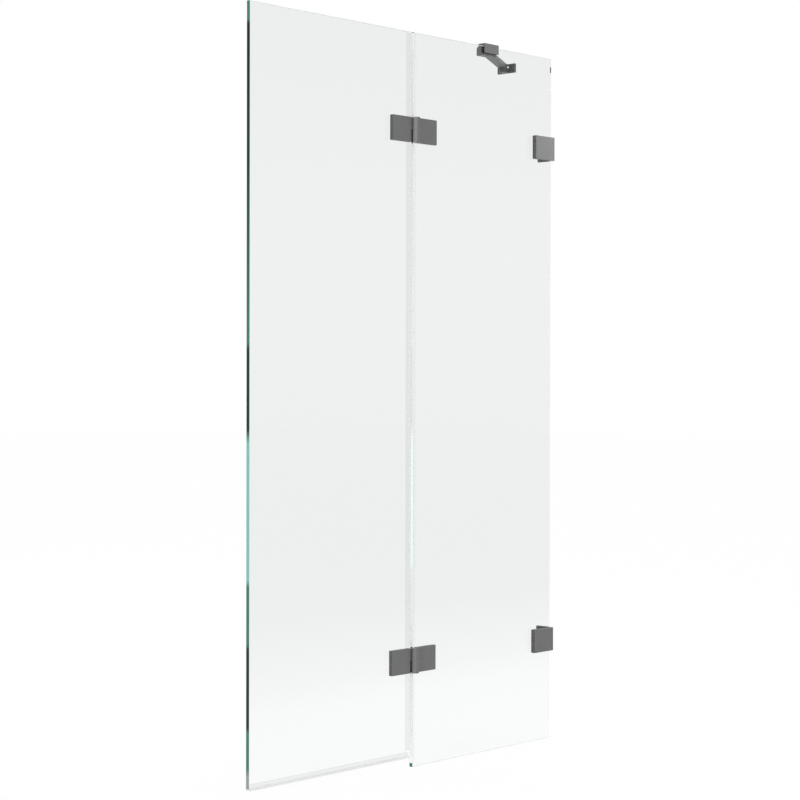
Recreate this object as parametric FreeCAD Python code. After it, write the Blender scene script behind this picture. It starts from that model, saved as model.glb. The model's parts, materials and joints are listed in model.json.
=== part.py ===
import FreeCAD, Part
import math
import os

# Two-pane hinged shower screen. X runs along the panes towards the wall, Y runs from the front to the back,
# Z is up. The origin is the middle of the fixed pane's lower edge, on the rim.

V = FreeCAD.Vector
Z_AXIS = V(0, 0, 1)

# Panes
screen_height = 1500.0
glass_thickness = 8.0
fixed_width = 452.0
door_width = 450.0
pane_gap = 6.0
wall_gap = 3.0
door_rim_gap = 24.0
arris = 0.4

# Clamp plates of hinges and wall brackets
plate_height = 51.0
plate_edge = 0.6
back_plate_thickness = 6.0
back_plate_width = 27.0
back_plate_height = 44.0
gasket_thickness = 1.0
gasket_inset = 0.2
top_offset = 200.0
low_offset = 196.0

# Hinges
leaf_thickness = 7.5
door_leaf_width = 55.0
fixed_leaf_width = 58.0
barrel_radius = 7.5
barrel_gap = 1.1
slit_width = 3.3
neck_setback = 2.0
barrel_edge = 0.5
axis_forward = 3.5
axis_overhang = 1.5
pin_radius = 4.0
pin_end_gap = 1.0
running_clearance = 0.05
bush_wall = 1.5
knuckle_cap = 5.0
washer_thickness = 0.6
washer_inset = 0.2
thrust_clearance = 0.1
lip_clearance = 0.6
cheek_clearance = 0.6

# Clamp screws and the glass holes they pass
glass_hole_radius = 7.0
sleeve_clearance = 0.1
screw_radius = 3.0
screw_clearance = 0.3
screw_spacing = 26.0
screw_bite = 4.5
head_radius = 6.0
head_depth = 3.2
socket_radius = 2.3
socket_depth = 2.2

# Wall brackets
bracket_width = 65.1
bracket_wall_clearance = 2.6
front_plate_thickness = 9.0
flange_thickness = 6.0
flange_depth = 30.8
wall_hole_radius = 3.25
wall_hole_spacing = 28.0
countersink_radius = 6.0
countersink_depth = 2.8

# Seals
seal_wall = 1.0
door_seal_leg = 9.7
door_seal_web = 1.5
door_seal_wiper = 2.5
door_seal_end_gap = 4.0
fin_seal_leg = 8.0
fin_web = 1.2
fin_thickness = 0.8
fin_reach = 11.0
fin_clearance = 0.4
fin_low_end = 8.5
fin_top_gap = 2.0
fin_hinge_gap = 2.0
fin_notch_gap = 2.0

# Stay from the top edge of the fixed pane to the wall
clamp_length = 46.4
clamp_height = 20.0
clamp_web = 5.9
clamp_jaw = 1.9
clamp_edge = 0.4
front_pad_thickness = 0.6
back_pad_thickness = 3.4
pad_inset = 0.8
pad_end_inset = 0.5
block_depth = 13.3
block_height = 18.8
block_chamfer = 9.5
lug_height = 4.6
clamp_lip_gap = 0.6
clamp_wall_distance = 210.2
pivot_wall_distance = 208.0
pivot_setback = 0.4
bar_width = 18.4
bar_height = 10.0
bar_edge = 0.5
bar_slot_clearance = 0.6
grub_radius = 1.5
grub_inset = 8.0
grub_tail = 0.5
grub_socket_radius = 0.8
grub_socket_depth = 1.2
foot_thickness = 5.7
foot_length = 49.5
foot_height = 20.0
foot_top_rise = 1.2
foot_distance = 123.0
foot_hole_radius = 3.25
foot_hole_offset = 3.0
foot_countersink_radius = 4.8
foot_countersink_depth = 2.2
pivot_radius = 2.5
pivot_head_radius = 5.0
pivot_head_depth = 2.6
pivot_end_gap = 1.5
pivot_socket_radius = 1.7
pivot_socket_depth = 1.8

# One overrun for every cut
cut_over = 1.0

# Places that follow from the sizes above
glass_face = glass_thickness / 2
clamp_face = glass_face + gasket_thickness
wall_x = fixed_width / 2 + wall_gap
fixed_edge_x = -fixed_width / 2
door_edge_x = fixed_edge_x - pane_gap
axis_x = door_edge_x + axis_overhang
axis_y = -clamp_face - leaf_thickness - axis_forward
slit_floor_y = -clamp_face - leaf_thickness + neck_setback
door_leaf_x = axis_x - barrel_radius - slit_width
fixed_leaf_x = axis_x + barrel_radius + barrel_gap
door_screw_x = door_leaf_x - door_leaf_width / 2
fixed_screw_x = fixed_leaf_x + fixed_leaf_width / 2
bracket_x = wall_x - bracket_wall_clearance
bracket_screw_x = bracket_x - (bracket_width - flange_thickness) / 2 - flange_thickness
hinge_levels = {"upper": screen_height - top_offset, "lower": door_rim_gap + low_offset}
bar_low = screen_height - bar_height
jaw_low = screen_height + clamp_web - clamp_height
clamp_lip_y = glass_face + clamp_lip_gap
clamp_slot_y = glass_face + back_pad_thickness
block_back_y = clamp_slot_y + block_depth
block_low = screen_height - block_height
clamp_lug_low = bar_low - lug_height
pivot_x = wall_x - pivot_wall_distance
pivot_y = block_back_y - pivot_setback
bar_radius = bar_width / 2
foot_pivot_x = wall_x - foot_thickness - bar_slot_clearance - bar_radius
foot_y = glass_face + foot_distance
foot_low = screen_height + foot_top_rise - foot_height


def box(x0, x1, y0, y1, z0, z1):
    corner = V(min(x0, x1), min(y0, y1), min(z0, z1))
    return Part.makeBox(abs(x1 - x0), abs(y1 - y0), abs(z1 - z0), corner)


def rod(radius, start, end):
    path = end - start
    return Part.makeCylinder(radius, path.Length, start, path)


def cone(radius0, radius1, start, end):
    path = end - start
    return Part.makeCone(radius0, radius1, path.Length, start, path)


def socket(radius, start, end):
    # Hexagonal recess from start to end
    path = end - start
    ring = Part.makeCircle(radius, start, path)
    points = ring.discretize(Number=7)
    return Part.Face(Part.makePolygon(points)).extrude(path)


def eased(solid, size):
    return solid.makeFillet(size, solid.Edges)


def joined(solids):
    return solids[0].multiFuse(solids[1:]).removeSplitter()


def export(name, shape):
    shape.exportStep("parts/" + name + ".step")


def export_group(name, solids):
    export(name, Part.makeCompound(solids))


# Panes


def screw_levels(level):
    return [level - screw_spacing / 2, level + screw_spacing / 2]


def all_screw_levels():
    return [z for level in hinge_levels.values() for z in screw_levels(level)]


def pane(x0, x1, z0, hole_xs):
    solid = box(x0, x1, -glass_face, glass_face, z0, screen_height)
    solid = solid.makeChamfer(arris, solid.Edges)
    reach = glass_face + cut_over
    levels = all_screw_levels()
    holes = [screw_hole(glass_hole_radius, x, -reach, reach, z) for x in hole_xs for z in levels]
    return solid.cut(Part.makeCompound(holes))


def door_pane():
    return pane(door_edge_x - door_width, door_edge_x, door_rim_gap, [door_screw_x])


def fixed_pane():
    return pane(fixed_edge_x, fixed_edge_x + fixed_width, 0, [fixed_screw_x, bracket_screw_x])


# Clamp screws, sleeves and gaskets


def screw_hole(radius, x, y0, y1, z):
    return rod(radius, V(x, y0, z), V(x, y1, z))


def screw(x, z):
    back = clamp_face + back_plate_thickness
    head_low = back - head_depth
    head = cone(screw_radius, head_radius, V(x, head_low, z), V(x, back, z))
    shank = screw_hole(screw_radius, x, -clamp_face - screw_bite, head_low, z)
    recess = socket(socket_radius, V(x, back, z), V(x, back - socket_depth, z))
    return joined([head, shank]).cut(recess)


def sleeve(x, z):
    outer = screw_hole(glass_hole_radius - sleeve_clearance, x, -glass_face, glass_face, z)
    reach = glass_face + cut_over
    return outer.cut(screw_hole(screw_radius + screw_clearance, x, -reach, reach, z))


def gasket(x0, x1, height, screw_x, y0, level):
    half = height / 2 - gasket_inset
    sheet = box(x0 + gasket_inset, x1 - gasket_inset, y0, y0 + gasket_thickness, level - half, level + half)
    y1 = y0 + gasket_thickness + cut_over
    for z in screw_levels(level):
        sheet = sheet.cut(screw_hole(screw_radius + screw_clearance, screw_x, y0 - cut_over, y1, z))
    return sheet


def plain_plate(x0, x1, y0, y1, height, level):
    plate = box(x0, x1, y0, y1, level - height / 2, level + height / 2)
    return eased(plate, plate_edge)


def bored_back(plate, screw_x, level):
    # Clearance holes with countersinks for the screw heads
    back = clamp_face + back_plate_thickness
    for z in screw_levels(level):
        plate = plate.cut(screw_hole(screw_radius + screw_clearance, screw_x, clamp_face - cut_over, back, z))
        seat = cone(screw_radius, head_radius, V(screw_x, back - head_depth, z), V(screw_x, back, z))
        plate = plate.cut(seat)
    return plate


def tapped_front(plate, screw_x, level):
    for z in screw_levels(level):
        hole = screw_hole(screw_radius, screw_x, -clamp_face - screw_bite, -clamp_face + cut_over, z)
        plate = plate.cut(hole)
    return plate


# Hinges


def knuckle(z0, z1):
    barrel = rod(barrel_radius, V(axis_x, axis_y, z0), V(axis_x, axis_y, z1))
    rims = [edge for edge in barrel.Edges if edge.Closed]
    return barrel.makeFillet(barrel_edge, rims)


def neck(leaf_x, front, z0, z1):
    return box(leaf_x, axis_x, front, -clamp_face, z0, z1)


def neck_lip(z0, z1):
    # Lip that narrows the slit beside the barrel, inside the sweep of the door's edge
    sweep = math.hypot(axis_overhang, glass_face + axis_y) - lip_clearance
    back = axis_y + math.sqrt(sweep * sweep - barrel_radius * barrel_radius)
    return box(axis_x - barrel_radius, axis_x, slit_floor_y, back, z0, z1)


def neck_cheek(z0, z1):
    # Cheek of the fixed leaf that follows the door's knuckle
    cheek = box(axis_x + barrel_gap, fixed_leaf_x + leaf_thickness, -clamp_face - leaf_thickness, -clamp_face,
                z0, z1)
    radius = barrel_radius + cheek_clearance
    return cheek.cut(rod(radius, V(axis_x, axis_y, z0 - cut_over), V(axis_x, axis_y, z1 + cut_over)))


def door_knuckle_low(level):
    return level + washer_thickness / 2 + thrust_clearance


def door_leaf(level):
    low = door_knuckle_low(level)
    top = level + plate_height / 2
    x0 = door_leaf_x - door_leaf_width
    plate = plain_plate(x0, door_leaf_x, -clamp_face - leaf_thickness, -clamp_face, plate_height, level)
    arm = neck(door_leaf_x - leaf_thickness, slit_floor_y, low, top - plate_edge)
    leaf = joined([plate, arm, knuckle(low, top)])
    bore = rod(pin_radius + running_clearance + bush_wall, V(axis_x, axis_y, low - cut_over),
               V(axis_x, axis_y, top - knuckle_cap))
    return tapped_front(leaf.cut(bore), door_screw_x, level)


def fixed_leaf(level):
    low = level - plate_height / 2
    top = level - washer_thickness / 2
    x1 = fixed_leaf_x + fixed_leaf_width
    plate = plain_plate(fixed_leaf_x, x1, -clamp_face - leaf_thickness, -clamp_face, plate_height, level)
    arm = neck(fixed_leaf_x + leaf_thickness, -clamp_face - leaf_thickness, low + plate_edge, top)
    lip = neck_lip(low + plate_edge, top)
    cheek = neck_cheek(top, level + plate_height / 2 - plate_edge)
    leaf = joined([plate, arm, lip, cheek, knuckle(low, top)])
    bore = rod(pin_radius, V(axis_x, axis_y, low + knuckle_cap), V(axis_x, axis_y, top + cut_over))
    return tapped_front(leaf.cut(bore), fixed_screw_x, level)


def hinge_pin(level):
    low = level - plate_height / 2 + knuckle_cap
    top = level + plate_height / 2 - knuckle_cap - pin_end_gap
    return rod(pin_radius, V(axis_x, axis_y, low), V(axis_x, axis_y, top))


def hinge_bush(level):
    low = door_knuckle_low(level)
    top = level + plate_height / 2 - knuckle_cap
    inner = pin_radius + running_clearance
    shell = rod(inner + bush_wall, V(axis_x, axis_y, low), V(axis_x, axis_y, top))
    return shell.cut(rod(inner, V(axis_x, axis_y, low - cut_over), V(axis_x, axis_y, top + cut_over)))


def thrust_washer(level):
    low = level - washer_thickness / 2
    top = level + washer_thickness / 2
    disc = rod(barrel_radius - washer_inset, V(axis_x, axis_y, low), V(axis_x, axis_y, top))
    hole = rod(pin_radius, V(axis_x, axis_y, low - cut_over), V(axis_x, axis_y, top + cut_over))
    return disc.cut(hole)


def back_ends(screw_x):
    return screw_x - back_plate_width / 2, screw_x + back_plate_width / 2


def back_plate(screw_x, level):
    x0, x1 = back_ends(screw_x)
    plate = plain_plate(x0, x1, clamp_face, clamp_face + back_plate_thickness, back_plate_height, level)
    return bored_back(plate, screw_x, level)


def front_gasket(x0, x1, screw_x, level):
    return gasket(x0, x1, plate_height, screw_x, -clamp_face, level)


def back_gasket(x0, x1, screw_x, level):
    return gasket(x0, x1, back_plate_height, screw_x, glass_face, level)


def export_hinge(place, level):
    door_x0 = door_leaf_x - door_leaf_width
    fixed_x1 = fixed_leaf_x + fixed_leaf_width
    export(place + "_door_leaf", door_leaf(level))
    export(place + "_fixed_leaf", fixed_leaf(level))
    export(place + "_door_back_plate", back_plate(door_screw_x, level))
    export(place + "_fixed_back_plate", back_plate(fixed_screw_x, level))
    export(place + "_hinge_pin", hinge_pin(level))
    export(place + "_hinge_bush", hinge_bush(level))
    export(place + "_thrust_washer", thrust_washer(level))
    export(place + "_door_front_gasket", front_gasket(door_x0, door_leaf_x, door_screw_x, level))
    export(place + "_fixed_front_gasket", front_gasket(fixed_leaf_x, fixed_x1, fixed_screw_x, level))
    back_x0, back_x1 = back_ends(door_screw_x)
    export(place + "_door_back_gasket", back_gasket(back_x0, back_x1, door_screw_x, level))
    back_x0, back_x1 = back_ends(fixed_screw_x)
    export(place + "_fixed_back_gasket", back_gasket(back_x0, back_x1, fixed_screw_x, level))


# Wall brackets


def wall_holes(level, y):
    cuts = []
    face = wall_x - flange_thickness
    for z in [level - wall_hole_spacing / 2, level + wall_hole_spacing / 2]:
        cuts.append(rod(wall_hole_radius, V(face - cut_over, y, z), V(wall_x + cut_over, y, z)))
        sink = cone(countersink_radius, wall_hole_radius, V(face, y, z), V(face + countersink_depth, y, z))
        cuts.append(sink)
    return Part.makeCompound(cuts)


def wall_bracket(level):
    back = clamp_face + back_plate_thickness
    web_half = back_plate_height / 2
    half = plate_height / 2
    web_x = back_ends(bracket_screw_x)[0]
    web = box(web_x, wall_x, clamp_face, back, level - web_half, level + web_half)
    flange = box(wall_x - flange_thickness, wall_x, clamp_face, clamp_face + flange_depth,
                 level - half, level + half)
    angle = joined([web, flange])
    angle = eased(angle, plate_edge)
    hole_y = (back + clamp_face + flange_depth) / 2
    angle = angle.cut(wall_holes(level, hole_y))
    return bored_back(angle, bracket_screw_x, level)


def bracket_front(level):
    front = -clamp_face - front_plate_thickness
    plate = plain_plate(bracket_x - bracket_width, bracket_x, front, -clamp_face, plate_height, level)
    return tapped_front(plate, bracket_screw_x, level)


def export_bracket(place, level):
    x0 = bracket_x - bracket_width
    x1 = fixed_edge_x + fixed_width
    export(place + "_wall_bracket", wall_bracket(level))
    export(place + "_bracket_front_plate", bracket_front(level))
    export(place + "_bracket_front_gasket", front_gasket(x0, x1, bracket_screw_x, level))
    back_x0 = back_ends(bracket_screw_x)[0]
    export(place + "_bracket_back_gasket", back_gasket(back_x0, x1, bracket_screw_x, level))


# Seals


def door_seal():
    outer = glass_face + seal_wall
    web_low = door_rim_gap - door_seal_web
    low = web_low - door_seal_wiper
    x0 = door_edge_x - door_width
    x1 = door_edge_x - door_seal_end_gap
    top = door_rim_gap + door_seal_leg
    web = box(x0, x1, -outer, outer, web_low, door_rim_gap)
    legs = [box(x0, x1, side * glass_face, side * outer, web_low, top) for side in (-1, 1)]
    wipers = [box(x0, x1, side * glass_face, side * outer, low, web_low) for side in (-1, 1)]
    return joined([web] + legs + wipers)


def fin_seal(z0, z1):
    outer = glass_face + seal_wall
    web_x = fixed_edge_x - fin_web
    leg_x = fixed_edge_x + fin_seal_leg
    fin_y = glass_face + fin_clearance
    web = box(web_x, fixed_edge_x, -outer, fin_y + fin_thickness, z0, z1)
    legs = [box(web_x, leg_x, side * glass_face, side * outer, z0, z1) for side in (-1, 1)]
    fin = box(door_edge_x - fin_reach, fixed_edge_x, fin_y, fin_y + fin_thickness, z0, z1)
    notch_top = door_rim_gap + door_seal_leg + fin_notch_gap
    notch = box(door_edge_x - fin_reach - cut_over, web_x, fin_y - cut_over, fin_y + fin_thickness + cut_over,
                0, notch_top)
    return joined([web] + legs + [fin.cut(notch)])


def export_fin_seals():
    half = plate_height / 2 + fin_hinge_gap
    upper = hinge_levels["upper"]
    lower = hinge_levels["lower"]
    export("upper_fin_seal", fin_seal(upper + half, screen_height - fin_top_gap))
    export("middle_fin_seal", fin_seal(lower + half, upper - half))
    export("lower_fin_seal", fin_seal(fin_low_end, lower - half))


# Stay


def bar_path():
    return V(foot_pivot_x - pivot_x, foot_y - pivot_y, 0)


def bar_outline(radius, z0, z1):
    # Long round-ended block over both pivots
    path = bar_path()
    angle = math.degrees(math.atan2(path.y, path.x))
    start = V(pivot_x, pivot_y, z0)
    middle = Part.makeBox(path.Length, radius * 2, z1 - z0, V(0, -radius, 0))
    middle.rotate(V(0, 0, 0), Z_AXIS, angle)
    middle.translate(start)
    ends = [rod(radius, V(x, y, z0), V(x, y, z1)) for x, y in stay_pivots()]
    return joined([middle] + ends)


def stay_pivots():
    return [(pivot_x, pivot_y), (foot_pivot_x, foot_y)]


def stay_bar():
    bar = eased(bar_outline(bar_radius, bar_low, screen_height), bar_edge)
    for x, y in stay_pivots():
        head_low = screen_height - pivot_head_depth
        bar = bar.cut(rod(pivot_radius, V(x, y, bar_low - cut_over), V(x, y, screen_height)))
        bar = bar.cut(cone(pivot_radius, pivot_head_radius, V(x, y, head_low), V(x, y, screen_height)))
    return bar


def pivot_screw(x, y, low):
    head_low = screen_height - pivot_head_depth
    head = cone(pivot_radius, pivot_head_radius, V(x, y, head_low), V(x, y, screen_height))
    shank = rod(pivot_radius, V(x, y, low), V(x, y, head_low))
    recess = socket(pivot_socket_radius, V(x, y, screen_height), V(x, y, screen_height - pivot_socket_depth))
    return joined([head, shank]).cut(recess)


def clamp_ends():
    middle = wall_x - clamp_wall_distance
    return middle - clamp_length / 2, middle + clamp_length / 2


def grub_places():
    x0, x1 = clamp_ends()
    z = (jaw_low + bar_low) / 2
    return [(x0 + grub_inset, z), (x1 - grub_inset, z)]


def top_back_edge(solid):
    return max(solid.Edges, key=lambda edge: edge.CenterOfMass.y + edge.CenterOfMass.z)


def stay_clamp():
    x0, x1 = clamp_ends()
    front = -glass_face - front_pad_thickness
    top = screen_height + clamp_web
    cap = box(x0, x1, front - clamp_jaw, clamp_slot_y, jaw_low, top)
    block = box(x0, x1, clamp_lip_y, block_back_y, block_low, top)
    block = block.makeChamfer(block_chamfer, [top_back_edge(block)])
    lug = rod(bar_radius, V(pivot_x, pivot_y, clamp_lug_low), V(pivot_x, pivot_y, bar_low))
    body = joined([cap, block])
    body = eased(body, clamp_edge)
    body = joined([body, lug])
    open0 = x0 - cut_over
    open1 = x1 + cut_over
    body = body.cut(box(open0, open1, front, clamp_lip_y, block_low - cut_over, screen_height))
    body = body.cut(box(open0, open1, front, clamp_slot_y, jaw_low, screen_height))
    body = body.cut(bar_outline(bar_radius + bar_slot_clearance, bar_low, top + cut_over))
    hole_low = clamp_lug_low + pivot_end_gap
    body = body.cut(rod(pivot_radius, V(pivot_x, pivot_y, hole_low), V(pivot_x, pivot_y, bar_low + cut_over)))
    for x, z in grub_places():
        body = body.cut(rod(grub_radius, V(x, clamp_slot_y - cut_over, z), V(x, block_back_y + cut_over, z)))
    return body


def clamp_pad(y0, y1, z0):
    x0, x1 = clamp_ends()
    top = screen_height - pad_inset
    return box(x0 + pad_end_inset, x1 - pad_end_inset, y0, y1, z0, top)


def grub_screw(x, z):
    end = block_back_y + grub_tail
    body = rod(grub_radius, V(x, clamp_slot_y, z), V(x, end, z))
    return body.cut(socket(grub_socket_radius, V(x, end, z), V(x, end - grub_socket_depth, z)))


def wall_foot():
    top = foot_low + foot_height
    face = wall_x - foot_thickness
    plate = box(face, wall_x, foot_y - foot_length / 2, foot_y + foot_length / 2, foot_low, top)
    plate = eased(plate, clamp_edge)
    lug = rod(bar_radius, V(foot_pivot_x, foot_y, foot_low), V(foot_pivot_x, foot_y, bar_low))
    web_x = wall_x - foot_thickness / 2
    web = box(foot_pivot_x, web_x, foot_y - bar_radius, foot_y + bar_radius, foot_low, bar_low)
    foot = joined([plate, web, lug])
    hole_low = foot_low + pivot_end_gap
    foot = foot.cut(rod(pivot_radius, V(foot_pivot_x, foot_y, hole_low),
                        V(foot_pivot_x, foot_y, bar_low + cut_over)))
    y = foot_y - foot_hole_offset
    z = (bar_low + screen_height) / 2
    foot = foot.cut(rod(foot_hole_radius, V(face - cut_over, y, z), V(wall_x + cut_over, y, z)))
    sink_end = V(face + foot_countersink_depth, y, z)
    return foot.cut(cone(foot_countersink_radius, foot_hole_radius, V(face, y, z), sink_end))


def export_stay():
    export("stay_clamp", stay_clamp())
    export("stay_bar", stay_bar())
    export("stay_wall_foot", wall_foot())
    export("clamp_front_pad", clamp_pad(-glass_face - front_pad_thickness, -glass_face, jaw_low + pad_inset))
    export("clamp_back_pad", clamp_pad(glass_face, clamp_slot_y, jaw_low))
    export_group("clamp_grub_screws", [grub_screw(x, z) for x, z in grub_places()])
    export("clamp_pivot_screw", pivot_screw(pivot_x, pivot_y, clamp_lug_low + pivot_end_gap))
    export("foot_pivot_screw", pivot_screw(foot_pivot_x, foot_y, foot_low + pivot_end_gap))


os.makedirs("parts", exist_ok=True)
export("door_pane", door_pane())
export("fixed_pane", fixed_pane())
for place, level in hinge_levels.items():
    export_hinge(place, level)
    export_bracket(place, level)
levels = all_screw_levels()
export_group("door_screws", [screw(door_screw_x, z) for z in levels])
export_group("fixed_screws", [screw(fixed_screw_x, z) for z in levels])
export_group("bracket_screws", [screw(bracket_screw_x, z) for z in levels])
export_group("door_sleeves", [sleeve(door_screw_x, z) for z in levels])
export_group("fixed_sleeves", [sleeve(fixed_screw_x, z) for z in levels])
export_group("bracket_sleeves", [sleeve(bracket_screw_x, z) for z in levels])
export("door_bottom_seal", door_seal())
export_fin_seals()
export_stay()
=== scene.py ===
import json
import logging
import math
from dataclasses import dataclass, replace
from enum import Enum

import bmesh
import bpy
from mathutils import Matrix, Vector


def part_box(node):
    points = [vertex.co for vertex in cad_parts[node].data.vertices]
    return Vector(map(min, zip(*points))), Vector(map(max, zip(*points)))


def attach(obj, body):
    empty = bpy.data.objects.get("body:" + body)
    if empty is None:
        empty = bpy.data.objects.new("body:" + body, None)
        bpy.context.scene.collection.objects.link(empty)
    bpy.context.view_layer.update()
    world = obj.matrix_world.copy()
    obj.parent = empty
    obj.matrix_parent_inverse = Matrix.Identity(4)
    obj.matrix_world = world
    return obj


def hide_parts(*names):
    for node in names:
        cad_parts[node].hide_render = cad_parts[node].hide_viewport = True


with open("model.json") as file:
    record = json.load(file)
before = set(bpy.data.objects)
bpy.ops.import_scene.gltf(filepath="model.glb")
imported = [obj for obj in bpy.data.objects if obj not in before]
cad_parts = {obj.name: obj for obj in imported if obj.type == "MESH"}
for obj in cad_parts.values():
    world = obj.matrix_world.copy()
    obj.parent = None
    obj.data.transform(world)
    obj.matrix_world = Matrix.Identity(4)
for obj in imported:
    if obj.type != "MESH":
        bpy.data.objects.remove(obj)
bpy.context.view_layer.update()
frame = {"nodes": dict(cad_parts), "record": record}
LOG = logging.getLogger("shower_screen")
MM = 0.001

Colour = tuple[float, float, float, float]
Point = tuple[float, float, float]
Stops = list[tuple[float, Colour]]

WHITE: Colour = (1.0, 1.0, 1.0, 1.0)
NOISE_MIDDLE = 0.5
FINE_BUMP = 0.05 * MM
MIX_FACTOR, MIX_LOW, MIX_HIGH, MIX_RESULT = 0, 6, 7, 2
RANDOM_MIN, RANDOM_MAX, RANDOM_FLOAT = 2, 3, 1


class Body(Enum):
    """The two rigid bodies of the screen."""

    FIXED = "fixed_screen"
    DOOR = "door"


class Axis(Enum):
    """The axes along which a strip's zones follow each other."""

    X = 0
    Z = 2


def srgb(red: float, green: float, blue: float) -> Colour:
    """Turn display values into a linear colour.

    Args:
        red: Red, 0 to 255.
        green: Green, 0 to 255.
        blue: Blue, 0 to 255.

    Returns:
        The linear colour with full alpha.
    """
    def linear(value: float) -> float:
        """Undo the display curve of one channel."""
        share = value / 255
        return share / 12.92 if share <= 0.04045 else ((share + 0.055) / 1.055) ** 2.4

    return linear(red), linear(green), linear(blue), 1.0


class Value:
    """A node's output that takes part in Python expressions."""

    def __init__(self, graph: "Graph", socket: bpy.types.NodeSocket) -> None:
        """Keep the socket and the graph that it belongs to."""
        self.graph = graph
        self.socket = socket

    def __add__(self, other: "Value | float") -> "Value":
        """Add."""
        return self.graph.math("ADD", self, other)

    def __sub__(self, other: "Value | float") -> "Value":
        """Subtract."""
        return self.graph.math("SUBTRACT", self, other)

    def __rsub__(self, other: "Value | float") -> "Value":
        """Subtract from a number."""
        return self.graph.math("SUBTRACT", other, self)

    def __mul__(self, other: "Value | float") -> "Value":
        """Multiply."""
        return self.graph.math("MULTIPLY", self, other)

    def __truediv__(self, other: "Value | float") -> "Value":
        """Divide."""
        return self.graph.math("DIVIDE", self, other)

    def __rtruediv__(self, other: "Value | float") -> "Value":
        """Divide a number."""
        return self.graph.math("DIVIDE", other, self)

    def __gt__(self, other: "Value | float") -> "Value":
        """Give 1 where this is the greater, else 0."""
        return self.graph.math("GREATER_THAN", self, other)

    def __lt__(self, other: "Value | float") -> "Value":
        """Give 1 where this is the smaller, else 0."""
        return self.graph.math("LESS_THAN", self, other)

    def __abs__(self) -> "Value":
        """Drop the sign."""
        return self.graph.math("ABSOLUTE", self)

    def largest(self, other: "Value | float") -> "Value":
        """Give the larger of the two."""
        return self.graph.math("MAXIMUM", self, other)

    __radd__ = __add__
    __rmul__ = __mul__


class Graph:
    """The nodes of one material, of the world or of a geometry tree."""

    def __init__(self, tree: bpy.types.NodeTree) -> None:
        """Start from an empty tree."""
        tree.nodes.clear()
        self.tree = tree

    def node(
        self, kind: str, settings: dict | None = None, inputs: dict | None = None,
    ) -> bpy.types.Node:
        """Add one node.

        Args:
            kind: The node's type.
            settings: Its properties, set first. The names stops and steps hold a ramp's
                places and colours, blended or not.
            inputs: Values or links by socket name or number.

        Returns:
            The new node.
        """
        node = self.tree.nodes.new(kind)
        for name, value in (settings or {}).items():
            if name in ("stops", "steps"):
                self._set_stops(node.color_ramp, value)
                node.color_ramp.interpolation = "LINEAR" if name == "stops" else "CONSTANT"
            else:
                setattr(node, name, value)
        for key, value in (inputs or {}).items():
            self._feed(node.inputs[key], value)
        return node

    def value(
        self, kind: str, output: str | int, settings: dict | None = None,
        inputs: dict | None = None,
    ) -> Value:
        """Add one node and wrap one of its outputs.

        Args:
            kind: The node's type.
            output: The output's name or number.
            settings: As in node.
            inputs: As in node.

        Returns:
            The wrapped output.
        """
        return Value(self, self.node(kind, settings, inputs).outputs[output])

    def math(self, operation: str, *values: Value | float) -> Value:
        """Add a Math node on up to three values."""
        return self.value("ShaderNodeMath", 0, {"operation": operation}, dict(enumerate(values)))

    def mix(self, factor: Value | float, low: Value | Colour, high: Value | Colour) -> Value:
        """Blend two colours by a factor from 0 to 1."""
        inputs = {MIX_FACTOR: factor, MIX_LOW: low, MIX_HIGH: high}
        return self.value("ShaderNodeMix", MIX_RESULT, {"data_type": "RGBA"}, inputs)

    def place(self) -> tuple[Value, Value, Value]:
        """Split the Object coordinates of the shaded point.

        Returns:
            Its x, y and z.
        """
        spot = self.value("ShaderNodeTexCoord", "Object")
        node = self.node("ShaderNodeSeparateXYZ", None, {0: spot})
        return tuple(Value(self, node.outputs[axis]) for axis in "XYZ")

    def noise(self, scale: float, detail: float = 2.0) -> Value:
        """Add even noise on Object coordinates.

        Args:
            scale: How fine it is, in turns to the metre.
            detail: How many finer layers lie over it.

        Returns:
            The noise, about NOISE_MIDDLE on the whole.
        """
        spot = self.value("ShaderNodeTexCoord", "Object")
        inputs = {"Vector": spot, "Scale": scale, "Detail": detail}
        return self.value("ShaderNodeTexNoise", 0, None, inputs)

    def bump(self, height: Value, strength: float) -> Value:
        """Turn a height into a very shallow bump."""
        inputs = {"Strength": strength, "Distance": FINE_BUMP, "Height": height}
        return self.value("ShaderNodeBump", 0, None, inputs)

    def principled(self, inputs: dict[str, object]) -> Value:
        """Add a Principled shader."""
        return self.value("ShaderNodeBsdfPrincipled", 0, None, inputs)

    def blend(self, factor: Value, first: Value, second: Value) -> Value:
        """Blend two shaders by a factor from 0 to 1."""
        return self.value("ShaderNodeMixShader", 0, None, {0: factor, 1: first, 2: second})

    def close(self, shader: Value) -> None:
        """Make a shader the surface of the material."""
        self.node("ShaderNodeOutputMaterial", None, {"Surface": shader})

    def _feed(self, socket: bpy.types.NodeSocket, value: object) -> None:
        """Link a wrapped output or set a plain value.

        Args:
            socket: The input to feed.
            value: A wrapped output, or what the socket itself can hold.
        """
        if isinstance(value, Value):
            self.tree.links.new(value.socket, socket)
        else:
            socket.default_value = value

    @staticmethod
    def _set_stops(ramp: bpy.types.ColorRamp, stops: Stops) -> None:
        """Give a colour ramp these stops.

        Args:
            ramp: The ramp.
            stops: Places from 0 to 1, each with its colour.
        """
        for element in list(ramp.elements)[1:]:
            ramp.elements.remove(element)
        ramp.elements[0].position, ramp.elements[0].color = stops[0]
        for position, colour in stops[1:]:
            ramp.elements.new(position).color = colour


def new_material(name: str) -> tuple[bpy.types.Material, Graph]:
    """Start a node material.

    Args:
        name: The material's name.

    Returns:
        The material and its empty graph.
    """
    material = bpy.data.materials.new(name)
    material.use_nodes = True
    return material, Graph(material.node_tree)


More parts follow.
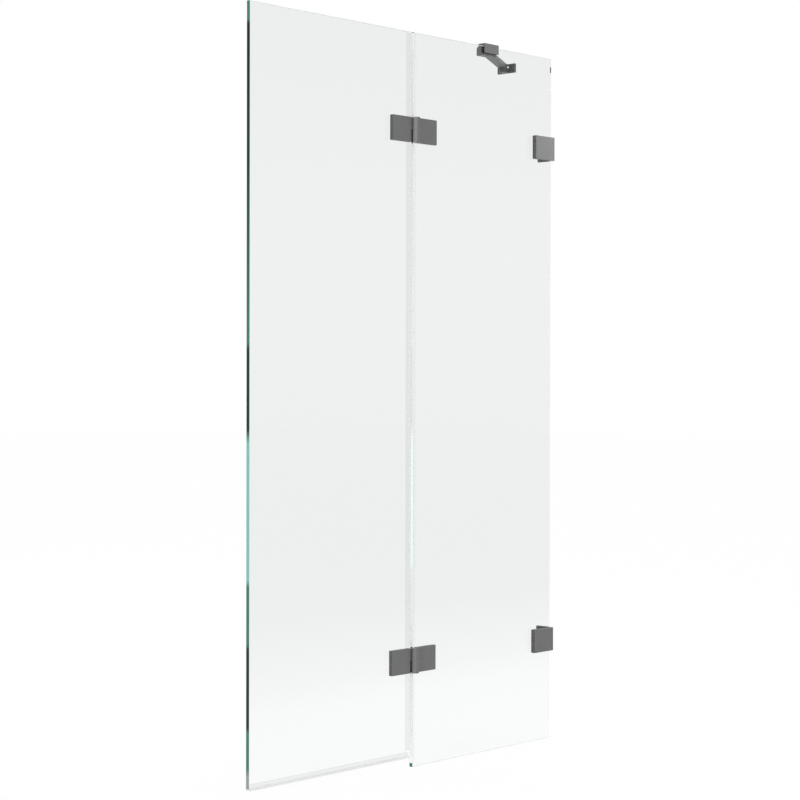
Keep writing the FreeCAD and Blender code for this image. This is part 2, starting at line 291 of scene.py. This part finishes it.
def add_object(name: str, data: bpy.types.ID) -> bpy.types.Object:
    """Put new data into the scene.

    Args:
        name: The object's name.
        data: Its mesh, curve, camera or light.

    Returns:
        The object.
    """
    thing = bpy.data.objects.new(name, data)
    bpy.context.scene.collection.objects.link(thing)
    return thing


@dataclass(frozen=True)
class GlassFinish:
    """Clear toughened glass, with green edges that show from outside; their light and dark greens
    up the height are painted reflections.

    The clear glass's tones go by the share of the height, lighter towards the bottom: a painted
    reflection of the floor.
    """

    index: float = 1.5
    sheen: Colour = (0.05, 0.05, 0.05, 1.0)
    arris: float = 0.4 * MM
    flat_margin: float = 0.1 * MM
    # Tones of the clear glass by share of height, lighter towards the bottom: a painted reflection
    # of the floor.
    tones: tuple[tuple[float, float], ...] = (
        (0.012, 0.962), (0.057, 0.958), (0.103, 0.948), (0.137, 0.911),
        (0.189, 0.881), (0.226, 0.860), (0.300, 0.861), (0.450, 0.864),
        (0.620, 0.871), (0.750, 0.871), (0.850, 0.861), (1.000, 0.850),
    )
    green: float = 0.008
    edge_roughness: float = 0.16
    edge_shine: float = 0.15
    mottle_scale: float = 60.0
    mottle: float = 0.15
    dark: Colour = srgb(26, 64, 55)
    middle: Colour = srgb(80, 140, 124)
    light: Colour = srgb(150, 218, 204)
    deepest: Colour = srgb(8, 34, 27)
    ground: Colour = srgb(246, 252, 250)
    ground_roughness: float = 0.5
    # Painted glow of the ground bevels, which keeps them light.
    ground_painted_glow: float = 0.45
    capped: Colour = srgb(172, 180, 177)

    def material(self, node: str) -> bpy.types.Material:
        """Build the glass of one pane.

        Args:
            node: The pane's CAD node, whose box gives the edges.

        Returns:
            The material.
        """
        material, graph = new_material(node + "_glass")
        low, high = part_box(node)
        centre, half = (low + high) / 2, (high - low) / 2
        x, y, z = graph.place()
        across, along, up = abs(x - centre.x), abs(y - centre.y), abs(z - centre.z)
        flat = along < half.y - self.arris
        rim = self.arris - self.flat_margin
        side, level = across > half.x - rim, up > half.z - rim
        inside = graph.value("ShaderNodeNewGeometry", "Backfacing")
        edge = side.largest(level * flat) * (1.0 - inside)
        bevel = side.largest(level) * (1.0 - flat) * inside.largest(level)
        # Painted reflection: the clear glass is tinted lighter towards the bottom, by height.
        height = z / high.z
        stops = [
            (share, (tone - self.green, tone + self.green, tone, 1.0))
            for share, tone in self.tones
        ]
        tint = graph.value("ShaderNodeValToRGB", 0, {"stops": stops}, {0: height})
        # Painted reflections: light and dark greens up the polished edge, by height.
        painted_reflection_bands = graph.value("ShaderNodeValToRGB", 0, {"stops": self._painted_reflection_bands()}, {0: height})
        tone = graph.mix(graph.noise(self.mottle_scale) * self.mottle, painted_reflection_bands, self.deepest)
        polished = graph.principled({
            "Base Color": tone, "Roughness": self.edge_roughness, "IOR": self.index,
            "Specular IOR Level": self.edge_shine,
        })
        clear = graph.principled({
            "Base Color": tint, "Roughness": 0.0, "IOR": self.index,
            "Transmission Weight": 1.0, "Specular Tint": self.sheen,
        })
        # Ground bevels: matt, with a painted glow.
        matt = graph.principled({
            "Base Color": self.ground, "Roughness": self.ground_roughness,
            "Emission Color": self.ground, "Emission Strength": self.ground_painted_glow,
        })
        graph.close(graph.blend(bevel, graph.blend(edge, clear, polished), matt))
        return material

    def _painted_reflection_bands(self) -> Stops:
        """List the greens of the polished edges, light and dark up the height: painted reflections.

        Returns:
            The greens by their share of the height.
        """
        return [
            (0.006, self.middle), (0.008, self.capped), (0.031, self.capped),
            (0.042, self.middle), (0.086, self.middle), (0.092, self.dark),
            (0.191, self.dark), (0.197, self.middle), (0.270, self.middle),
            (0.276, self.light), (0.330, self.light), (0.448, self.light),
            (0.464, self.dark), (0.566, self.dark), (0.573, self.middle),
            (0.800, self.dark), (0.972, self.deepest), (0.976, self.middle),
        ]


@dataclass(frozen=True)
class MetalFinish:
    """Satin grey hardware with a very fine grain.

    It can be painted black past a set point, as painted shade in the slit beside a hinge barrel,
    and painted lighter on the open side of a barrel, as a painted highlight.
    """

    name: str = "grey_hardware"
    low: Colour = (0.140, 0.141, 0.142, 1.0)
    high: Colour = (0.166, 0.167, 0.168, 1.0)
    metallic: float = 0.15
    roughness: float = 0.40
    shine: float = 0.3
    cloud_scale: float = 35.0
    grain_scale: float = 2600.0
    grain_detail: float = 1.0
    grain: float = 0.12
    bump: float = 0.08
    # Painted shade: points left of and behind this point are painted black.
    painted_shade_corner: tuple[float, float] | None = None
    black: Colour = (0.004, 0.004, 0.004, 1.0)
    # Where and how strongly a hinge barrel's open side is painted lighter, as a painted highlight.
    axis: tuple[float, float] = (0.0, 0.0)
    barrel: float = 7.5 * MM
    barrel_reach: float = 1.1
    painted_light_way: tuple[float, float] = (-0.68, 0.74)
    painted_light_middle: float = 0.36
    painted_light_slope: float = 0.75
    painted_light: float = 0.0
    painted_light_colour: Colour = (0.40, 0.40, 0.40, 1.0)

    def material(self) -> bpy.types.Material:
        """Build the finish.

        Returns:
            The material.
        """
        material, graph = new_material(self.name)
        cloud = graph.noise(self.cloud_scale)
        grain = graph.noise(self.grain_scale, self.grain_detail)
        colour = graph.mix(cloud, self.low, self.high)
        # Painted shade: black in the slit beside the barrel, where shade falls.
        if self.painted_shade_corner:
            x, y, _ = graph.place()
            colour = graph.mix((x < self.painted_shade_corner[0]) * (y > self.painted_shade_corner[1]), colour, self.black)
        # Painted highlight: the barrel's open side is painted lighter.
        if self.painted_light:
            colour = graph.mix(self._painted_light_share(graph), colour, self.painted_light_colour)
        graph.close(graph.principled({
            "Base Color": colour, "Metallic": self.metallic,
            "Roughness": self.roughness + (grain - NOISE_MIDDLE) * self.grain,
            "Normal": graph.bump(grain, self.bump), "Specular IOR Level": self.shine,
        }))
        return material

    def _painted_light_share(self, graph: Graph) -> Value:
        """Find the painted highlight on the open side of the barrel.

        Args:
            graph: The material's graph.

        Returns:
            How far a point of the barrel lies to that side, and 0 off the barrel.
        """
        x, y, _ = graph.place()
        across, deep = (x - self.axis[0]) / self.barrel, (y - self.axis[1]) / self.barrel
        turned = across * self.painted_light_way[0] + deep * self.painted_light_way[1]
        share = (self.painted_light_middle + turned * self.painted_light_slope).largest(0.0)
        return share * self.painted_light * (across * across + deep * deep < self.barrel_reach)


@dataclass(frozen=True)
class SealFinish:
    """Clear flexible plastic, a little milky in zones across the strip, with a painted glow that
    stands in for light through it.

    Each zone has a start, a tone and a cover.
    """

    name: str
    axis: Axis
    low: float
    high: float
    zones: tuple[tuple[float, float, float], ...]
    # Strength of the painted glow, which stands in for light through the plastic.
    glow: float
    tint: Point = (1.0, 1.01, 1.005)
    roughness: float = 0.35
    cloud_scale: float = 90.0
    cloud: float = 0.1
    cover_base: float = 0.98
    cover_cloud: float = 0.04

    def material(self) -> bpy.types.Material:
        """Build the seal's plastic.

        Returns:
            The material.
        """
        material, graph = new_material(self.name)
        cloud = graph.noise(self.cloud_scale)
        width = self.high - self.low
        share = (graph.place()[self.axis.value] - self.low) / width
        steps = [
            ((start - self.low) / width, (*(tone * part for part in self.tint), cover))
            for start, tone, cover in self.zones
        ]
        ramp = graph.node("ShaderNodeValToRGB", {"steps": steps}, {0: share})
        tone, cover = Value(graph, ramp.outputs["Color"]), Value(graph, ramp.outputs["Alpha"])
        graph.close(graph.principled({
            "Base Color": tone, "Roughness": self.roughness + cloud * self.cloud,
            "Alpha": cover * (self.cover_base + cloud * self.cover_cloud),
            # Painted glow: the emission stands in for light through the plastic.
            "Emission Color": tone, "Emission Strength": self.glow,
        }))
        return material


@dataclass(frozen=True)
class MattFinish:
    """Plain rubber or plastic with a fine mottle."""

    name: str
    low: Colour
    high: Colour
    roughness: float
    shine: float = 0.5
    mottle_scale: float = 900.0
    mottle: float = 0.1
    bump: float = 0.15

    def material(self) -> bpy.types.Material:
        """Build the matt finish.

        Returns:
            The material.
        """
        material, graph = new_material(self.name)
        mottle = graph.noise(self.mottle_scale)
        graph.close(graph.principled({
            "Base Color": graph.mix(mottle, self.low, self.high),
            "Roughness": self.roughness + (mottle - NOISE_MIDDLE) * self.mottle,
            "Normal": graph.bump(mottle, self.bump), "Specular IOR Level": self.shine,
        }))
        return material


SCREW_STEEL = MetalFinish(
    "dark_screw_steel", (0.10, 0.10, 0.102, 1.0), (0.14, 0.14, 0.142, 1.0), 0.8, 0.35,
)


class Recipe:
    """A geometry tree with named inputs, run once on a host and then dropped."""

    def __init__(self, name: str, inputs: dict[str, str]) -> None:
        """Start the tree.

        Args:
            name: The tree's name.
            inputs: Socket types by input name, besides the host's geometry.
        """
        self.tree = bpy.data.node_groups.new(name, "GeometryNodeTree")
        self.graph = Graph(self.tree)
        face = self.tree.interface
        face.new_socket("Geometry", in_out="INPUT", socket_type="NodeSocketGeometry")
        face.new_socket("Geometry", in_out="OUTPUT", socket_type="NodeSocketGeometry")
        wanted = dict(inputs, Finish="NodeSocketMaterial")
        self.keys = {
            key: face.new_socket(key, in_out="INPUT", socket_type=kind).identifier
            for key, kind in wanted.items()
        }
        self.entry = self.graph.node("NodeGroupInput")

    def given(self, name: str) -> Value:
        """Give one of the tree's inputs."""
        return Value(self.graph, self.entry.outputs[name])

    def end(self, shape: Value) -> None:
        """Close the tree with real geometry in its finish.

        Args:
            shape: The geometry, with instances or without.
        """
        real = self.graph.value("GeometryNodeRealizeInstances", 0, None, {0: shape})
        done = self.graph.value("GeometryNodeSetMaterial", 0, None, {
            "Geometry": real, "Material": self.given("Finish"),
        })
        self.graph.node("NodeGroupOutput", None, {0: done})

    def run(self, name: str, host: bpy.types.Mesh, values: dict[str, object]) -> bpy.types.Object:
        """Run the tree on a host mesh.

        Args:
            name: The new piece's name.
            host: The points or edges to work on.
            values: The inputs by name, the finish among them.

        Returns:
            The piece as a plain mesh.
        """
        stand = add_object(name + "_host", host)
        modifier = stand.modifiers.new("recipe", "NODES")
        modifier.node_group = self.tree
        for key, value in values.items():
            modifier[self.keys[key]] = value
        graph = bpy.context.evaluated_depsgraph_get()
        mesh = bpy.data.meshes.new_from_object(stand.evaluated_get(graph))
        stand.modifiers.remove(modifier)
        bpy.data.objects.remove(stand)
        if not mesh.materials:
            mesh.materials.append(values["Finish"])
        piece = add_object(name, mesh)
        LOG.info("made %s, %d faces", name, len(mesh.polygons))
        return piece


def host_mesh(name: str, points: list[Point], edges: list[tuple[int, int]]) -> bpy.types.Mesh:
    """Make a mesh of bare points and edges.

    Args:
        name: The mesh's name.
        points: Places in metres.
        edges: Pairs of point numbers.

    Returns:
        The mesh.
    """
    mesh = bpy.data.meshes.new(name)
    mesh.from_pydata(points, edges, [])
    return mesh


def dress(node: str, material: bpy.types.Material) -> None:
    """Give a CAD node a finish.

    Args:
        node: The node's name.
        material: The finish.
    """
    data = frame["nodes"][node].data
    data.materials.clear()
    data.materials.append(material)
    LOG.info("dressed %s in %s", node, material.name)


@dataclass
class Panes:
    """The fixed pane and the door pane."""

    finish: GlassFinish = GlassFinish()

    def build(self) -> None:
        """Dress both panes. Clear glass throws no shadow."""
        for node in ("fixed_pane", "door_pane"):
            dress(node, self.finish.material(node))
            frame["nodes"][node].visible_shadow = False


@dataclass
class Hardware:
    """Hinges, wall brackets and stay, with what lies inside them."""

    lip_width: float = 3.5 * MM
    barrel_front: float = 12.0 * MM
    # Painted highlight: how much lighter each hinge's barrel is painted on its open side.
    barrel_painted_lights: tuple[tuple[str, float], ...] = (("upper", 1.0), ("lower", 0.58))
    by_slot: tuple[MetalFinish | MattFinish, ...] = (
        MetalFinish(),
        SCREW_STEEL,
        MetalFinish("pin_steel", (0.50, 0.50, 0.51, 1.0), (0.58, 0.58, 0.59, 1.0), 1.0, 0.22),
        MattFinish("gasket_rubber", (0.012, 0.012, 0.012, 1.0), (0.03, 0.03, 0.03, 1.0), 0.75, 0.1),
        MattFinish("sleeve_plastic", (0.60, 0.61, 0.60, 1.0), (0.72, 0.73, 0.72, 1.0), 0.5),
        MattFinish("bearing_plastic", (0.25, 0.25, 0.252, 1.0), (0.30, 0.30, 0.303, 1.0), 0.5),
    )
    # Painted shade: a darker copy of the grey for the stay and the wall brackets.
    stay: MetalFinish = MetalFinish(
        "stay_grey", (0.099, 0.100, 0.101, 1.0), (0.115, 0.116, 0.117, 1.0), shine=0.2,
    )
    # Painted shade: a still darker copy of the grey for the stay's wall foot.
    foot: MetalFinish = MetalFinish(
        "foot_grey", (0.066, 0.067, 0.068, 1.0), (0.080, 0.081, 0.082, 1.0), shine=0.2,
    )
    leaf: MetalFinish = MetalFinish(
        "leaf_grey", (0.147, 0.148, 0.149, 1.0), (0.174, 0.175, 0.176, 1.0),
    )

    def build(self) -> None:
        """Dress each node by what it is made of, except that the stay, the wall brackets and the
        stay's wall foot get darker copies of the grey as painted shade.
        """
        slots = {finish.name: finish.material() for finish in self.by_slot}
        for part in frame["record"]["subparts"]:
            if part["material_slot"] in slots:
                dress(part["node"], slots[part["material_slot"]])
        stay = self.stay.material()
        for node in ("stay_bar", "upper_wall_bracket", "lower_wall_bracket"):
            dress(node, stay)
        dress("stay_wall_foot", self.foot.material())
        for level, painted_light in self.barrel_painted_lights:
            self._dress_leaves(level, painted_light)

    def _dress_leaves(self, level: str, painted_light: float) -> None:
        """Dress the two leaves of one hinge, with painted shade in black beside the barrel and a
        painted highlight on its open side.

        Args:
            level: Which hinge, upper or lower.
            painted_light: How much lighter the open side of its barrel is.
        """
        pin_low, pin_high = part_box(level + "_hinge_pin")
        axis = ((pin_low.x + pin_high.x) / 2, (pin_low.y + pin_high.y) / 2)
        low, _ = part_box(level + "_fixed_leaf")
        # Painted shade: the fixed leaf is painted black past this corner, in the slit beside the
        # barrel; the door leaf gets none.
        corner = (low.x + self.lip_width, low.y + self.barrel_front)
        for node, painted_shade_corner in ((level + "_fixed_leaf", corner), (level + "_door_leaf", None)):
            finish = replace(self.leaf, name=node + "_grey", painted_shade_corner=painted_shade_corner, axis=axis, painted_light=painted_light)
            dress(node, finish.material())


@dataclass
class ClampScrews:
    """The countersunk screws that hold the clamp plates, seen from the shower side."""

    head_radius: float = 6.0 * MM
    head_depth: float = 3.2 * MM
    shank_radius: float = 3.0 * MM
    shank_end: float = -9.5 * MM
    face: float = 11.0 * MM
    spacing: float = 26.0 * MM
    rim: float = 0.3 * MM
    socket_radius: float = 2.3 * MM
    socket_depth: float = 2.2 * MM
    socket_corners: int = 6
    sides: int = 36
    seed: int = 7
    steel: MetalFinish = SCREW_STEEL

    def build(self) -> None:
        """Set one screw shape at each place, for the door and for the fixed part."""
        finish = self.steel.material()
        recipe = self._recipe()
        shape = self._shape()
        for name, body, nodes in (
            ("door_clamp_screws", Body.DOOR, ("door_screws",)),
            ("fixed_clamp_screws", Body.FIXED, ("fixed_screws", "bracket_screws")),
        ):
            host = host_mesh(name, [spot for node in nodes for spot in self._spots(node)], [])
            piece = recipe.run(name, host, {
                "Screw": shape, "Seed": self.seed, "Finish": finish,
            })
            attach(piece, body.value)
            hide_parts(*nodes)
        bpy.data.objects.remove(shape)

    def _spots(self, node: str) -> list[Point]:
        """Find a node's screw heads.

        Args:
            node: The CAD node, with two screws at its lower end and two at its upper end.

        Returns:
            The middles of the heads.
        """
        low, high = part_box(node)
        x = (low.x + high.x) / 2
        first, last = low.z + self.head_radius, high.z - self.head_radius
        levels = (first, first + self.spacing, last - self.spacing, last)
        return [(x, self.face, z) for z in levels]

    @staticmethod
    def _recipe() -> Recipe:
        """Build the tree that sets a screw on every point, each turned its own way.

        Returns:
            The recipe.
        """
        recipe = Recipe("screw_setter", {"Screw": "NodeSocketObject", "Seed": "NodeSocketInt"})
        graph = recipe.graph
        shape = graph.value("GeometryNodeObjectInfo", "Geometry", None, {
            "Object": recipe.given("Screw"),
        })
        turn = graph.value("FunctionNodeRandomValue", RANDOM_FLOAT, {"data_type": "FLOAT"}, {
            RANDOM_MIN: 0.0, RANDOM_MAX: math.tau, "Seed": recipe.given("Seed"),
        })
        way = graph.value("ShaderNodeCombineXYZ", 0, None, {"Y": turn})
        recipe.end(graph.value("GeometryNodeInstanceOnPoints", 0, None, {
            "Points": recipe.given("Geometry"), "Instance": shape, "Rotation": way,
        }))
        return recipe

    def _ring(
        self, mesh: bmesh.types.BMesh, radius: float, depth: float, corners: int,
    ) -> list[bmesh.types.BMVert]:
        """Add a ring of points round the screw's axis.

        Args:
            mesh: The mesh that gets them.
            radius: The ring's radius at its corners.
            depth: How far it lies behind the head's face.
            corners: How many corners it has, with straight sides between them.

        Returns:
            The points in order.
        """
        span = math.pi / corners
        ring = []
        for number in range(self.sides):
            turn = math.tau * number / self.sides
            reach = radius * math.cos(span) / math.cos(turn % (2 * span) - span)
            ring.append(mesh.verts.new((reach * math.cos(turn), -depth, reach * math.sin(turn))))
        return ring

    def _shape(self) -> bpy.types.Object:
        """Build one screw from rings: socket floor, socket mouth, face, rim, cone and shank.

        Returns:
            The screw, to be set at each place.
        """
        mesh = bmesh.new()
        rings = [self._ring(mesh, radius, depth, corners) for radius, depth, corners in (
            (self.socket_radius, self.socket_depth, self.socket_corners),
            (self.socket_radius, self.rim, self.socket_corners),
            (self.socket_radius + self.rim, 0.0, self.socket_corners),
            (self.head_radius - 2 * self.rim, 0.0, self.sides),
            (self.head_radius - self.rim, self.rim, self.sides),
            (self.shank_radius, self.head_depth, self.sides),
            (self.shank_radius, self.face - self.shank_end, self.sides),
        )]
        mesh.faces.new(rings[0])
        mesh.faces.new(rings[-1])
        for inner, outer in zip(rings, rings[1:]):
            for here in range(self.sides):
                there = (here + 1) % self.sides
                mesh.faces.new((inner[here], inner[there], outer[there], outer[here]))
        bmesh.ops.recalc_face_normals(mesh, faces=mesh.faces[:])
        data = bpy.data.meshes.new("clamp_screw")
        mesh.to_mesh(data)
        mesh.free()
        return add_object("clamp_screw", data)


@dataclass
class Seals:
    """The strips on the fixed pane's edge and under the door.

    The looks of a strip's zones are tones and covers.
    """

    wall: float = 1.0 * MM
    air: float = 0.1 * MM
    leg: float = 8.0 * MM
    web: float = 1.2 * MM
    fin_low: float = 4.4 * MM
    fin_high: float = 5.2 * MM
    fin_start: float = 35.7 * MM
    stretch: float = 1.6 * MM
    bead: float = 4.6 * MM
    drip: float = 0.7 * MM
    groove: float = 0.25 * MM
    bottom_web: float = 1.5 * MM
    stripes: tuple[float, float, float] = (5.4 * MM, 3.5 * MM, 1.7 * MM)
    rounding: float = 0.2 * MM
    round_steps: int = 2
    fin_looks: tuple[tuple[float, float], ...] = (
        (0.15, 0.070), (0.06, 0.15), (0.90, 0.94), (0.58, 0.90), (0.15, 0.025),
    )
    # Painted glow of the fin strips.
    fin_painted_glow: float = 0.32
    bottom_tone: float = 0.12
    bottom_covers: tuple[float, ...] = (0.095, 0.060, 0.036, 0.016, 0.056, 0.012)
    # Painted glow of the strip under the door.
    bottom_painted_glow: float = 0.1

    def build(self) -> None:
        """Sweep each strip's section along its edge."""
        recipe = self._recipe()
        self._fixed_strips(recipe)
        self._door_strip(recipe)

    def _recipe(self) -> Recipe:
        """Build the tree that sweeps a section with rounded corners along every edge.

        Returns:
            The recipe.
        """
        recipe = Recipe("strip_sweep", {
            "Section": "NodeSocketObject", "Rounding": "NodeSocketFloat",
            "Across": "NodeSocketVector",
        })
        graph = recipe.graph
        path = graph.value("GeometryNodeMeshToCurve", 0, None, {0: recipe.given("Geometry")})
        path = graph.value("GeometryNodeSetCurveNormal", 0, {"mode": "FREE"}, {
            0: path, "Normal": recipe.given("Across"),
        })
        section = graph.value("GeometryNodeObjectInfo", "Geometry", None, {
            "Object": recipe.given("Section"),
        })
        section = graph.value("GeometryNodeFilletCurve", 0, {"mode": "POLY"}, {
            "Curve": section, "Count": self.round_steps, "Radius": recipe.given("Rounding"),
            "Limit Radius": True,
        })
        recipe.end(graph.value("GeometryNodeCurveToMesh", 0, None, {
            "Curve": path, "Profile Curve": section, "Fill Caps": True,
        }))
        return recipe

    @staticmethod
    def _section(name: str, points: list[tuple[float, float]]) -> bpy.types.Object:
        """Make a closed flat outline for sweeping.

        Args:
            name: The outline's name.
            points: Its corners in order.

        Returns:
            The outline as a curve.
        """
        curve = bpy.data.curves.new(name, "CURVE")
        curve.dimensions = "2D"
        spline = curve.splines.new("POLY")
        spline.points.add(len(points) - 1)
        for point, (across, along) in zip(spline.points, points):
            point.co = (across, along, 0.0, 1.0)
        spline.use_cyclic_u = True
        return add_object(name, curve)

    def _sweep(
        self, recipe: Recipe, name: str, points: list[tuple[float, float]], ends: list[Point],
        across: Point, finish: bpy.types.Material,
    ) -> bpy.types.Object:
        """Sweep a section along straight runs.

        Args:
            recipe: The tree that sweeps.
            name: The new piece's name.
            points: The section's corners in order.
            ends: The two ends of each run, one run after the other.
            across: Which way the section's first axis points.
            finish: The strip's plastic.

        Returns:
            The piece.
        """
        section = self._section(name + "_section", points)
        host = host_mesh(name, ends, [(end, end + 1) for end in range(0, len(ends), 2)])
        piece = recipe.run(name, host, {
            "Section": section, "Rounding": self.rounding, "Across": across, "Finish": finish,
        })
        bpy.data.objects.remove(section)
        return piece

    def _fixed_strips(self, recipe: Recipe) -> None:
        """Make the fin strips on the fixed pane's free edge, and the short tail below the fin.

        Args:
            recipe: The tree that sweeps.
        """
        pane_low, pane_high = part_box("fixed_pane")
        fin_low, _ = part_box("middle_fin_seal")
        _, door_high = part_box("door_pane")
        edge, half = pane_low.x, pane_high.y
        inner, outer = half + self.air, half + self.wall
        legs = [
            (-self.web, -outer), (self.leg, -outer), (self.leg - self.wall, -inner),
            (-self.air, -inner), (-self.air, inner), (self.leg - self.wall, inner),
            (self.leg, outer),
        ]
        reach = fin_low.x - edge
        fin = [
            (0.0, outer), (0.0, self.fin_high), (reach, self.fin_high), (reach, self.fin_low),
            (-self.web, self.fin_low),
        ]
        starts = (
            fin_low.x, door_high.x, edge - self.web - self.air, edge - self.web + self.air,
            edge + self.air,
        )
        zones = tuple((start, *look) for start, look in zip(starts, self.fin_looks))
        finish = SealFinish(
            "clear_seal", Axis.X, fin_low.x, edge + self.leg, zones, self.fin_painted_glow,
        ).material()
        strips = ("upper_fin_seal", "middle_fin_seal", "lower_fin_seal")
        spans = {name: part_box(name) for name in strips}
        upper, middle, lower = [(low.z, high.z) for low, high in spans.values()]
        runs = (
            upper[0] - self.stretch, upper[1],
            middle[0] - self.stretch, middle[1] + self.stretch,
            self.fin_start, lower[1] + self.stretch,
        )
        for name, points, levels in (
            ("fin_strips", legs + fin, runs),
            ("fin_strip_tail", legs + [(-self.web, outer)], (lower[0], self.fin_start)),
        ):
            ends = [(edge, 0.0, level) for level in levels]
            piece = self._sweep(recipe, name, points, ends, (1.0, 0.0, 0.0), finish)
            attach(piece, Body.FIXED.value)
            if name == "fin_strips":
                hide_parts(*spans)

    def _door_strip(self, recipe: Recipe) -> None:
        """Make the strip under the door, with a beaded top, a groove and two drip lips.

        Args:
            recipe: The tree that sweeps.
        """
        low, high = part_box("door_bottom_seal")
        pane_low, pane_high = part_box("door_pane")
        inner, outer = pane_high.y + self.air, pane_high.y + self.wall
        web_low, web_high = pane_low.z - self.bottom_web, pane_low.z - self.air
        half = [
            (outer - self.drip, web_low), (outer - self.drip, low.z), (outer, low.z),
            (outer, high.z - self.bead - self.groove),
            (outer - self.groove, high.z - self.bead),
            (outer, high.z - self.bead + self.groove),
            (outer, high.z - self.groove), (outer - 2 * self.groove, high.z),
            (inner, high.z), (inner, web_high),
        ]
        points = half + [(-across, up) for across, up in reversed(half)]
        starts = (low.z, web_low, web_high, *(high.z - stripe for stripe in self.stripes))
        zones = tuple(
            (start, self.bottom_tone, cover) for start, cover in zip(starts, self.bottom_covers)
        )
        finish = SealFinish(
            "clear_bottom_seal", Axis.Z, low.z, high.z, zones, self.bottom_painted_glow,
        ).material()
        ends = [(low.x, 0.0, 0.0), (high.x, 0.0, 0.0)]
        piece = self._sweep(recipe, "door_bottom_strip", points, ends, (0.0, 1.0, 0.0), finish)
        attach(piece, Body.DOOR.value)
        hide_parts("door_bottom_seal")


@dataclass(frozen=True)
class Lamp:
    """A soft square lamp that faces the screen's middle. It can't be seen through the glass."""

    name: str
    place: Point
    size: float
    power: float
    target: Point = (-0.2, 0.0, 0.8)

    def build(self) -> bpy.types.Object:
        """Add the lamp.

        Returns:
            The lamp.
        """
        data = bpy.data.lights.new(self.name, "AREA")
        data.size = self.size
        data.energy = self.power
        lamp = add_object(self.name, data)
        lamp.visible_transmission = False
        lamp.location = self.place
        aim = Vector(self.target) - Vector(self.place)
        lamp.rotation_euler = aim.to_track_quat("-Z", "Y").to_euler()
        return lamp


@dataclass
class Studio:
    """White studio: camera, lamps, world and floor."""

    yaw: float = math.radians(42.528)
    pitch: float = math.radians(-0.664)
    roll: float = math.radians(0.121)
    focal_px: float = 1956.0
    frame_px: float = 800.0
    sensor_mm: float = 36.0
    clip_end: float = 100.0
    eye: Point = (-3.185, -2.682, 0.797)
    fill: float = 0.56
    floor_tone: Colour = (0.85, 0.85, 0.85, 1.0)
    floor_glow: float = 1.085
    floor_share: float = 0.85
    floor_size: float = 40.0
    floor_drop: float = 1.0 * MM
    low_lamps: tuple[Lamp, ...] = (
        Lamp("key", (-1.5, -4.6, 0.4), 2.6, 118.0), Lamp("left", (-4.0, -1.2, 0.5), 1.4, 32.0),
    )
    side_lamp: Lamp = Lamp("right", (1.3, -0.5, 1.5), 0.3, 4.0)
    side_spares: tuple[str, ...] = (
        "fixed_pane", "door_pane", "upper_fixed_leaf", "upper_door_leaf",
    )
    back_lamp: Lamp = Lamp("behind", (-0.6, 3.2, 3.0), 2.0, 12.0)

    def build(self) -> None:
        """Set up the studio."""
        self._camera()
        self._world()
        floor = self._floor()
        for low_lamp in self.low_lamps:
            lamp = low_lamp.build()
            lamp.visible_glossy = False
            self._spare(lamp, floor)
        self._spare(self.side_lamp.build(), *(frame["nodes"][node] for node in self.side_spares))
        self.back_lamp.build()
        bpy.context.scene.view_settings.view_transform = "Standard"

    def _camera(self) -> None:
        """Add the camera at the photograph's place and angle."""
        data = bpy.data.cameras.new("photo_view")
        data.sensor_width = self.sensor_mm
        data.lens = self.focal_px * self.sensor_mm / self.frame_px
        data.clip_end = self.clip_end
        camera = add_object("photo_view", data)
        turn = Matrix.Rotation(self.yaw - math.pi / 2, 4, "Z")
        tip = Matrix.Rotation(math.pi / 2 + self.pitch, 4, "X")
        bank = Matrix.Rotation(self.roll, 4, "Z")
        camera.matrix_world = Matrix.Translation(self.eye) @ turn @ tip @ bank
        bpy.context.scene.camera = camera

    @staticmethod
    def _white_share(graph: Graph) -> Value:
        """Find the rays that see the white backdrop directly, in a reflection or through glass.

        Args:
            graph: The graph of the world or of the floor's material.

        Returns:
            1 for those rays, else 0.
        """
        path = graph.node("ShaderNodeLightPath")
        seen = Value(graph, path.outputs["Is Camera Ray"])
        mirrored = Value(graph, path.outputs["Is Glossy Ray"])
        through = Value(graph, path.outputs["Is Transmission Ray"])
        bounces = Value(graph, path.outputs["Diffuse Depth"])
        return seen.largest(mirrored).largest(through) * (bounces < 0.5)

    def _world(self) -> None:
        """Set a white backdrop for the eye and a plain fill light for the object."""
        world = bpy.data.worlds.new("studio")
        world.use_nodes = True
        bpy.context.scene.world = world
        graph = Graph(world.node_tree)
        strength = self.fill + self._white_share(graph) * (1.0 - self.fill)
        background = graph.value("ShaderNodeBackground", 0, None, {
            "Color": WHITE, "Strength": strength,
        })
        graph.node("ShaderNodeOutputWorld", None, {"Surface": background})

    def _floor(self) -> bpy.types.Object:
        """Add the pale floor, which keeps the object's shadow.

        Returns:
            The floor.
        """
        half = self.floor_size / 2
        mesh = bpy.data.meshes.new("floor")
        corners = [(-half, -half), (half, -half), (half, half), (-half, half)]
        mesh.from_pydata([(x, y, -self.floor_drop) for x, y in corners], [], [(0, 1, 2, 3)])
        floor = add_object("floor", mesh)
        material, graph = new_material("pale_floor")
        matt = graph.value("ShaderNodeBsdfDiffuse", 0, None, {"Color": self.floor_tone})
        glow = graph.value("ShaderNodeEmission", 0, None, {
            "Color": WHITE, "Strength": self.floor_glow,
        })
        graph.close(graph.blend(self._white_share(graph) * self.floor_share, matt, glow))
        mesh.materials.append(material)
        return floor

    @staticmethod
    def _spare(lamp: bpy.types.Object, *things: bpy.types.Object) -> None:
        """Keep a lamp from showing as a bright patch.

        Args:
            lamp: The lamp.
            things: What it doesn't light.
        """
        group = bpy.data.collections.new(lamp.name + "_spares")
        for thing in things:
            group.objects.link(thing)
        for entry in group.collection_objects:
            entry.light_linking.link_state = "EXCLUDE"
        lamp.light_linking.receiver_collection = group


def main() -> None:
    """Build the looks in order."""
    logging.basicConfig(level=logging.INFO)
    for group in (Panes(), Hardware(), ClampScrews(), Seals(), Studio()):
        LOG.info("building %s", type(group).__name__)
        group.build()


if __name__ == "__main__":
    main()
